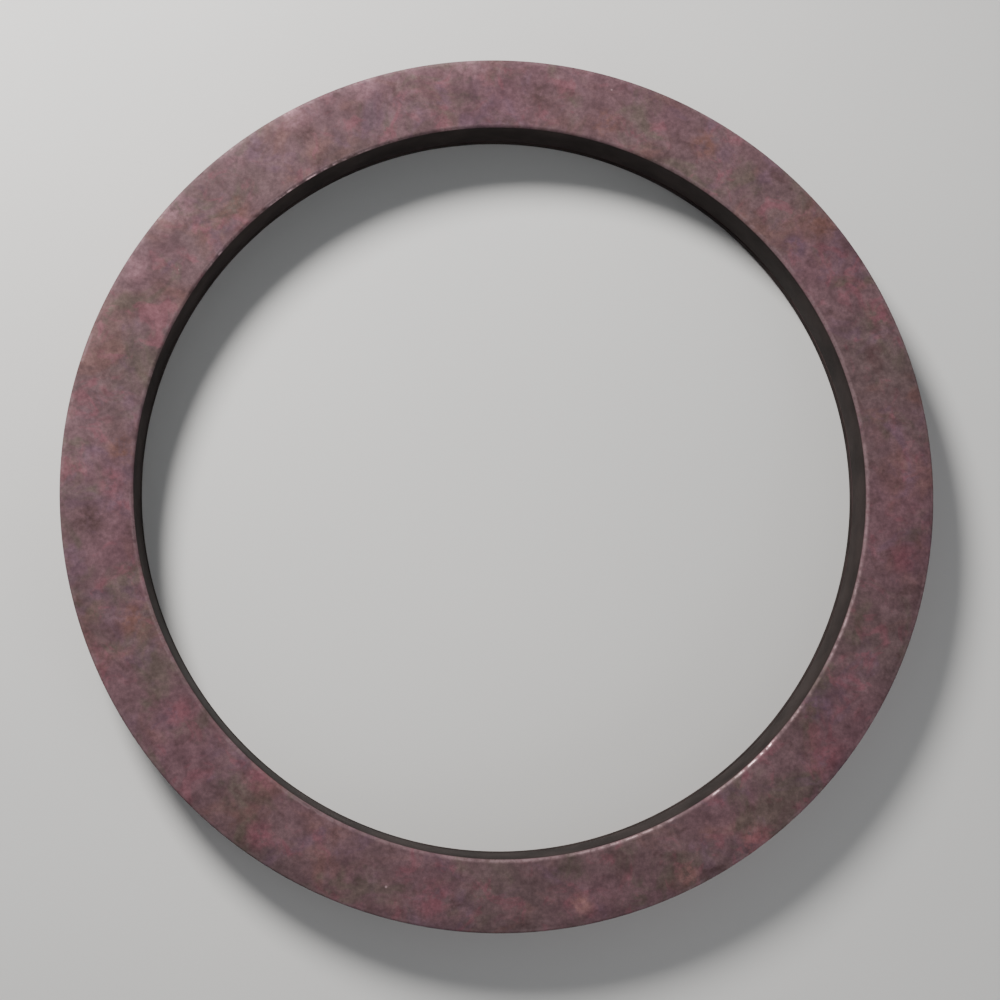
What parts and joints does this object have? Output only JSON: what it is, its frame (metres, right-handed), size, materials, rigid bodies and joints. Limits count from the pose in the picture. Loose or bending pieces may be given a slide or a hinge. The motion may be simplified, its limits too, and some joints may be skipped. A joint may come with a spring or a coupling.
{
  "type": "slewing ring bearing",
  "caption": "Thin flat ball slewing ring with plain undrilled faces: two L-section rings turn on one row of caged balls round a large open bore.",
  "frame": {"origin": "on the bearing's axis, in the plane of the rear face that it rests on", "axes": "+Z along the bearing's axis, out of the plain front face; +X through the grease hole; the ball filling plug is on -Y"},
  "size_m": [0.165, 0.165, 0.011],
  "materials": {
    "front_ring_steel": "matt, mottled purple-brown heat oxide",
    "rear_ring_steel": "matt, mottled purple-brown heat oxide",
    "ball_steel": "polished hardened bearing steel",
    "cage_plastic": "moulded natural polyamide",
    "outer_seal_rubber": "matt nitrile rubber",
    "inner_seal_rubber": "matt nitrile rubber",
    "plug_steel": "ground",
    "pin_steel": "bright spring steel",
    "screw_steel": "black oxide"
  },
  "bodies": {
    "rear_ring": {"rear_ring": "rear_ring_steel", "inner_seal": "inner_seal_rubber", "filling_plug": "plug_steel", "plug_locking_pin": "pin_steel", "grease_hole_screw": "screw_steel"},
    "front_ring": {"front_ring": "front_ring_steel", "outer_seal": "outer_seal_rubber"},
    "ball_cage": {"ball_cage": "cage_plastic"},
    "ball_01": {"ball_01": "ball_steel"},
    "ball_02": {"ball_02": "ball_steel"},
    "ball_03": {"ball_03": "ball_steel"},
    "ball_04": {"ball_04": "ball_steel"},
    "ball_05": {"ball_05": "ball_steel"},
    "ball_06": {"ball_06": "ball_steel"},
    "ball_07": {"ball_07": "ball_steel"},
    "ball_08": {"ball_08": "ball_steel"},
    "ball_09": {"ball_09": "ball_steel"},
    "ball_10": {"ball_10": "ball_steel"},
    "ball_11": {"ball_11": "ball_steel"},
    "ball_12": {"ball_12": "ball_steel"},
    "ball_13": {"ball_13": "ball_steel"},
    "ball_14": {"ball_14": "ball_steel"},
    "ball_15": {"ball_15": "ball_steel"},
    "ball_16": {"ball_16": "ball_steel"},
    "ball_17": {"ball_17": "ball_steel"},
    "ball_18": {"ball_18": "ball_steel"},
    "ball_19": {"ball_19": "ball_steel"},
    "ball_20": {"ball_20": "ball_steel"},
    "ball_21": {"ball_21": "ball_steel"},
    "ball_22": {"ball_22": "ball_steel"},
    "ball_23": {"ball_23": "ball_steel"},
    "ball_24": {"ball_24": "ball_steel"},
    "ball_25": {"ball_25": "ball_steel"},
    "ball_26": {"ball_26": "ball_steel"},
    "ball_27": {"ball_27": "ball_steel"},
    "ball_28": {"ball_28": "ball_steel"},
    "ball_29": {"ball_29": "ball_steel"},
    "ball_30": {"ball_30": "ball_steel"},
    "ball_31": {"ball_31": "ball_steel"},
    "ball_32": {"ball_32": "ball_steel"},
    "ball_33": {"ball_33": "ball_steel"},
    "ball_34": {"ball_34": "ball_steel"},
    "ball_35": {"ball_35": "ball_steel"},
    "ball_36": {"ball_36": "ball_steel"},
    "ball_37": {"ball_37": "ball_steel"},
    "ball_38": {"ball_38": "ball_steel"},
    "ball_39": {"ball_39": "ball_steel"},
    "ball_40": {"ball_40": "ball_steel"},
    "ball_41": {"ball_41": "ball_steel"},
    "ball_42": {"ball_42": "ball_steel"},
    "ball_43": {"ball_43": "ball_steel"},
    "ball_44": {"ball_44": "ball_steel"},
    "ball_45": {"ball_45": "ball_steel"},
    "ball_46": {"ball_46": "ball_steel"},
    "ball_47": {"ball_47": "ball_steel"},
    "ball_48": {"ball_48": "ball_steel"}
  },
  "joints": [
    {"name": "ring_turn", "type": "hinge", "parent": "rear_ring", "child": "front_ring", "pos_m": [0, 0, 0.0055], "axis": [0, 0, 1], "continuous": true},
    {"name": "cage_turn", "type": "hinge", "parent": "rear_ring", "child": "ball_cage", "pos_m": [0, 0, 0.0055], "axis": [0, 0, 1], "continuous": true},
    {"name": "ball_01_roll", "type": "hinge", "parent": "ball_cage", "child": "ball_01", "pos_m": [0.07559, 0.00495, 0.0055], "axis": [0, 0, 1], "continuous": true},
    {"name": "ball_02_roll", "type": "hinge", "parent": "ball_cage", "child": "ball_02", "pos_m": [0.07429, 0.01478, 0.0055], "axis": [0, 0, 1], "continuous": true},
    {"name": "ball_03_roll", "type": "hinge", "parent": "ball_cage", "child": "ball_03", "pos_m": [0.07173, 0.02435, 0.0055], "axis": [0, 0, 1], "continuous": true},
    {"name": "ball_04_roll", "type": "hinge", "parent": "ball_cage", "child": "ball_04", "pos_m": [0.06794, 0.0335, 0.0055], "axis": [0, 0, 1], "continuous": true},
    {"name": "ball_05_roll", "type": "hinge", "parent": "ball_cage", "child": "ball_05", "pos_m": [0.06298, 0.04208, 0.0055], "axis": [0, 0, 1], "continuous": true},
    {"name": "ball_06_roll", "type": "hinge", "parent": "ball_cage", "child": "ball_06", "pos_m": [0.05695, 0.04995, 0.0055], "axis": [0, 0, 1], "continuous": true},
    {"name": "ball_07_roll", "type": "hinge", "parent": "ball_cage", "child": "ball_07", "pos_m": [0.04995, 0.05695, 0.0055], "axis": [0, 0, 1], "continuous": true},
    {"name": "ball_08_roll", "type": "hinge", "parent": "ball_cage", "child": "ball_08", "pos_m": [0.04208, 0.06298, 0.0055], "axis": [0, 0, 1], "continuous": true},
    {"name": "ball_09_roll", "type": "hinge", "parent": "ball_cage", "child": "ball_09", "pos_m": [0.0335, 0.06794, 0.0055], "axis": [0, 0, 1], "continuous": true},
    {"name": "ball_10_roll", "type": "hinge", "parent": "ball_cage", "child": "ball_10", "pos_m": [0.02435, 0.07173, 0.0055], "axis": [0, 0, 1], "continuous": true},
    {"name": "ball_11_roll", "type": "hinge", "parent": "ball_cage", "child": "ball_11", "pos_m": [0.01478, 0.07429, 0.0055], "axis": [0, 0, 1], "continuous": true},
    {"name": "ball_12_roll", "type": "hinge", "parent": "ball_cage", "child": "ball_12", "pos_m": [0.00495, 0.07559, 0.0055], "axis": [0, 0, 1], "continuous": true},
    {"name": "ball_13_roll", "type": "hinge", "parent": "ball_cage", "child": "ball_13", "pos_m": [-0.00495, 0.07559, 0.0055], "axis": [0, 0, 1], "continuous": true},
    {"name": "ball_14_roll", "type": "hinge", "parent": "ball_cage", "child": "ball_14", "pos_m": [-0.01478, 0.07429, 0.0055], "axis": [0, 0, 1], "continuous": true},
    {"name": "ball_15_roll", "type": "hinge", "parent": "ball_cage", "child": "ball_15", "pos_m": [-0.02435, 0.07173, 0.0055], "axis": [0, 0, 1], "continuous": true},
    {"name": "ball_16_roll", "type": "hinge", "parent": "ball_cage", "child": "ball_16", "pos_m": [-0.0335, 0.06794, 0.0055], "axis": [0, 0, 1], "continuous": true},
    {"name": "ball_17_roll", "type": "hinge", "parent": "ball_cage", "child": "ball_17", "pos_m": [-0.04208, 0.06298, 0.0055], "axis": [0, 0, 1], "continuous": true},
    {"name": "ball_18_roll", "type": "hinge", "parent": "ball_cage", "child": "ball_18", "pos_m": [-0.04995, 0.05695, 0.0055], "axis": [0, 0, 1], "continuous": true},
    {"name": "ball_19_roll", "type": "hinge", "parent": "ball_cage", "child": "ball_19", "pos_m": [-0.05695, 0.04995, 0.0055], "axis": [0, 0, 1], "continuous": true},
    {"name": "ball_20_roll", "type": "hinge", "parent": "ball_cage", "child": "ball_20", "pos_m": [-0.06298, 0.04208, 0.0055], "axis": [0, 0, 1], "continuous": true},
    {"name": "ball_21_roll", "type": "hinge", "parent": "ball_cage", "child": "ball_21", "pos_m": [-0.06794, 0.0335, 0.0055], "axis": [0, 0, 1], "continuous": true},
    {"name": "ball_22_roll", "type": "hinge", "parent": "ball_cage", "child": "ball_22", "pos_m": [-0.07173, 0.02435, 0.0055], "axis": [0, 0, 1], "continuous": true},
    {"name": "ball_23_roll", "type": "hinge", "parent": "ball_cage", "child": "ball_23", "pos_m": [-0.07429, 0.01478, 0.0055], "axis": [0, 0, 1], "continuous": true},
    {"name": "ball_24_roll", "type": "hinge", "parent": "ball_cage", "child": "ball_24", "pos_m": [-0.07559, 0.00495, 0.0055], "axis": [0, 0, 1], "continuous": true},
    {"name": "ball_25_roll", "type": "hinge", "parent": "ball_cage", "child": "ball_25", "pos_m": [-0.07559, -0.00495, 0.0055], "axis": [0, 0, 1], "continuous": true},
    {"name": "ball_26_roll", "type": "hinge", "parent": "ball_cage", "child": "ball_26", "pos_m": [-0.07429, -0.01478, 0.0055], "axis": [0, 0, 1], "continuous": true},
    {"name": "ball_27_roll", "type": "hinge", "parent": "ball_cage", "child": "ball_27", "pos_m": [-0.07173, -0.02435, 0.0055], "axis": [0, 0, 1], "continuous": true},
    {"name": "ball_28_roll", "type": "hinge", "parent": "ball_cage", "child": "ball_28", "pos_m": [-0.06794, -0.0335, 0.0055], "axis": [0, 0, 1], "continuous": true},
    {"name": "ball_29_roll", "type": "hinge", "parent": "ball_cage", "child": "ball_29", "pos_m": [-0.06298, -0.04208, 0.0055], "axis": [0, 0, 1], "continuous": true},
    {"name": "ball_30_roll", "type": "hinge", "parent": "ball_cage", "child": "ball_30", "pos_m": [-0.05695, -0.04995, 0.0055], "axis": [0, 0, 1], "continuous": true},
    {"name": "ball_31_roll", "type": "hinge", "parent": "ball_cage", "child": "ball_31", "pos_m": [-0.04995, -0.05695, 0.0055], "axis": [0, 0, 1], "continuous": true},
    {"name": "ball_32_roll", "type": "hinge", "parent": "ball_cage", "child": "ball_32", "pos_m": [-0.04208, -0.06298, 0.0055], "axis": [0, 0, 1], "continuous": true},
    {"name": "ball_33_roll", "type": "hinge", "parent": "ball_cage", "child": "ball_33", "pos_m": [-0.0335, -0.06794, 0.0055], "axis": [0, 0, 1], "continuous": true},
    {"name": "ball_34_roll", "type": "hinge", "parent": "ball_cage", "child": "ball_34", "pos_m": [-0.02435, -0.07173, 0.0055], "axis": [0, 0, 1], "continuous": true},
    {"name": "ball_35_roll", "type": "hinge", "parent": "ball_cage", "child": "ball_35", "pos_m": [-0.01478, -0.07429, 0.0055], "axis": [0, 0, 1], "continuous": true},
    {"name": "ball_36_roll", "type": "hinge", "parent": "ball_cage", "child": "ball_36", "pos_m": [-0.00495, -0.07559, 0.0055], "axis": [0, 0, 1], "continuous": true},
    {"name": "ball_37_roll", "type": "hinge", "parent": "ball_cage", "child": "ball_37", "pos_m": [0.00495, -0.07559, 0.0055], "axis": [0, 0, 1], "continuous": true},
    {"name": "ball_38_roll", "type": "hinge", "parent": "ball_cage", "child": "ball_38", "pos_m": [0.01478, -0.07429, 0.0055], "axis": [0, 0, 1], "continuous": true},
    {"name": "ball_39_roll", "type": "hinge", "parent": "ball_cage", "child": "ball_39", "pos_m": [0.02435, -0.07173, 0.0055], "axis": [0, 0, 1], "continuous": true},
    {"name": "ball_40_roll", "type": "hinge", "parent": "ball_cage", "child": "ball_40", "pos_m": [0.0335, -0.06794, 0.0055], "axis": [0, 0, 1], "continuous": true},
    {"name": "ball_41_roll", "type": "hinge", "parent": "ball_cage", "child": "ball_41", "pos_m": [0.04208, -0.06298, 0.0055], "axis": [0, 0, 1], "continuous": true},
    {"name": "ball_42_roll", "type": "hinge", "parent": "ball_cage", "child": "ball_42", "pos_m": [0.04995, -0.05695, 0.0055], "axis": [0, 0, 1], "continuous": true},
    {"name": "ball_43_roll", "type": "hinge", "parent": "ball_cage", "child": "ball_43", "pos_m": [0.05695, -0.04995, 0.0055], "axis": [0, 0, 1], "continuous": true},
    {"name": "ball_44_roll", "type": "hinge", "parent": "ball_cage", "child": "ball_44", "pos_m": [0.06298, -0.04208, 0.0055], "axis": [0, 0, 1], "continuous": true},
    {"name": "ball_45_roll", "type": "hinge", "parent": "ball_cage", "child": "ball_45", "pos_m": [0.06794, -0.0335, 0.0055], "axis": [0, 0, 1], "continuous": true},
    {"name": "ball_46_roll", "type": "hinge", "parent": "ball_cage", "child": "ball_46", "pos_m": [0.07173, -0.02435, 0.0055], "axis": [0, 0, 1], "continuous": true},
    {"name": "ball_47_roll", "type": "hinge", "parent": "ball_cage", "child": "ball_47", "pos_m": [0.07429, -0.01478, 0.0055], "axis": [0, 0, 1], "continuous": true},
    {"name": "ball_48_roll", "type": "hinge", "parent": "ball_cage", "child": "ball_48", "pos_m": [0.07559, -0.00495, 0.0055], "axis": [0, 0, 1], "continuous": true}
  ],
  "couplings": [
    {"joint": "cage_turn", "follows": "ring_turn", "ratio": 0.4868},
    {"joint": "ball_01_roll", "follows": "ring_turn", "ratio": -18.924},
    {"joint": "ball_02_roll", "follows": "ring_turn", "ratio": -18.924},
    {"joint": "ball_03_roll", "follows": "ring_turn", "ratio": -18.924},
    {"joint": "ball_04_roll", "follows": "ring_turn", "ratio": -18.924},
    {"joint": "ball_05_roll", "follows": "ring_turn", "ratio": -18.924},
    {"joint": "ball_06_roll", "follows": "ring_turn", "ratio": -18.924},
    {"joint": "ball_07_roll", "follows": "ring_turn", "ratio": -18.924},
    {"joint": "ball_08_roll", "follows": "ring_turn", "ratio": -18.924},
    {"joint": "ball_09_roll", "follows": "ring_turn", "ratio": -18.924},
    {"joint": "ball_10_roll", "follows": "ring_turn", "ratio": -18.924},
    {"joint": "ball_11_roll", "follows": "ring_turn", "ratio": -18.924},
    {"joint": "ball_12_roll", "follows": "ring_turn", "ratio": -18.924},
    {"joint": "ball_13_roll", "follows": "ring_turn", "ratio": -18.924},
    {"joint": "ball_14_roll", "follows": "ring_turn", "ratio": -18.924},
    {"joint": "ball_15_roll", "follows": "ring_turn", "ratio": -18.924},
    {"joint": "ball_16_roll", "follows": "ring_turn", "ratio": -18.924},
    {"joint": "ball_17_roll", "follows": "ring_turn", "ratio": -18.924},
    {"joint": "ball_18_roll", "follows": "ring_turn", "ratio": -18.924},
    {"joint": "ball_19_roll", "follows": "ring_turn", "ratio": -18.924},
    {"joint": "ball_20_roll", "follows": "ring_turn", "ratio": -18.924},
    {"joint": "ball_21_roll", "follows": "ring_turn", "ratio": -18.924},
    {"joint": "ball_22_roll", "follows": "ring_turn", "ratio": -18.924},
    {"joint": "ball_23_roll", "follows": "ring_turn", "ratio": -18.924},
    {"joint": "ball_24_roll", "follows": "ring_turn", "ratio": -18.924},
    {"joint": "ball_25_roll", "follows": "ring_turn", "ratio": -18.924},
    {"joint": "ball_26_roll", "follows": "ring_turn", "ratio": -18.924},
    {"joint": "ball_27_roll", "follows": "ring_turn", "ratio": -18.924},
    {"joint": "ball_28_roll", "follows": "ring_turn", "ratio": -18.924},
    {"joint": "ball_29_roll", "follows": "ring_turn", "ratio": -18.924},
    {"joint": "ball_30_roll", "follows": "ring_turn", "ratio": -18.924},
    {"joint": "ball_31_roll", "follows": "ring_turn", "ratio": -18.924},
    {"joint": "ball_32_roll", "follows": "ring_turn", "ratio": -18.924},
    {"joint": "ball_33_roll", "follows": "ring_turn", "ratio": -18.924},
    {"joint": "ball_34_roll", "follows": "ring_turn", "ratio": -18.924},
    {"joint": "ball_35_roll", "follows": "ring_turn", "ratio": -18.924},
    {"joint": "ball_36_roll", "follows": "ring_turn", "ratio": -18.924},
    {"joint": "ball_37_roll", "follows": "ring_turn", "ratio": -18.924},
    {"joint": "ball_38_roll", "follows": "ring_turn", "ratio": -18.924},
    {"joint": "ball_39_roll", "follows": "ring_turn", "ratio": -18.924},
    {"joint": "ball_40_roll", "follows": "ring_turn", "ratio": -18.924},
    {"joint": "ball_41_roll", "follows": "ring_turn", "ratio": -18.924},
    {"joint": "ball_42_roll", "follows": "ring_turn", "ratio": -18.924},
    {"joint": "ball_43_roll", "follows": "ring_turn", "ratio": -18.924},
    {"joint": "ball_44_roll", "follows": "ring_turn", "ratio": -18.924},
    {"joint": "ball_45_roll", "follows": "ring_turn", "ratio": -18.924},
    {"joint": "ball_46_roll", "follows": "ring_turn", "ratio": -18.924},
    {"joint": "ball_47_roll", "follows": "ring_turn", "ratio": -18.924},
    {"joint": "ball_48_roll", "follows": "ring_turn", "ratio": -18.924}
  ]
}
